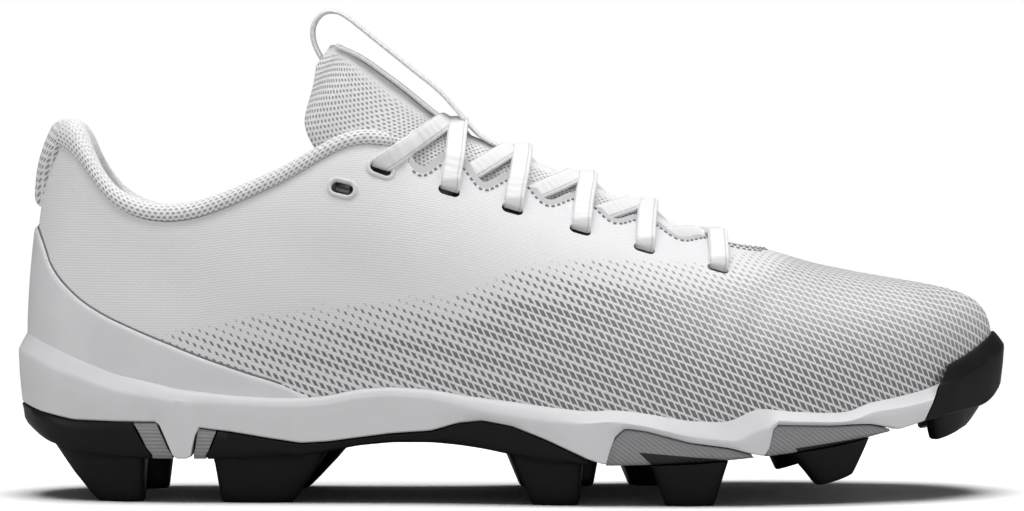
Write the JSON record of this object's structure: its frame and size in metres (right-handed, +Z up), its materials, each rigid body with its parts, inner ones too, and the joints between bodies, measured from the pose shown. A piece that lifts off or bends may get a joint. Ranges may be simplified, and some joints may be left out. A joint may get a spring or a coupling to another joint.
{
  "type": "football cleat",
  "caption": "Low-cut right football cleat: white textile upper with grey halftone netting, mesh collar and tongue, white moulded cup sole, black rubber studs and toe bumper.",
  "frame": {"origin": "on the floor under the middle of the shoe's box, where the stud tips rest", "axes": "+X from heel to toe, +Y to the medial side, +Z up"},
  "size_m": [0.2997, 0.0995, 0.1471],
  "materials": {
    "white_textile": "matt ribbed textile",
    "mesh": "open spacer mesh",
    "white_rubber": "satin moulded",
    "grey": "fine ribbed satin",
    "black": "satin moulded rubber",
    "lace": "flat woven braid"
  },
  "bodies": {
    "root": {"collar": "mesh", "heel_counter": "white_rubber", "insole": "mesh", "lace_cross_2": "lace", "lace_cross_3": "lace", "lace_cross_4": "lace", "lace_cross_5": "lace", "lace_cross_6": "lace", "midsole": "white_rubber", "outsole_heel": "black", "outsole_shank": "black", "pod_ball": "grey", "pod_front": "grey", "pod_heel_front": "grey", "pod_heel_rear": "grey", "pull_loop": "lace", "stud_ball_lateral": "black", "stud_ball_medial": "black", "stud_front_lateral": "black", "stud_front_medial": "black", "toe_bumper": "black", "tongue": "mesh", "upper": "white_textile"}
  },
  "joints": []
}
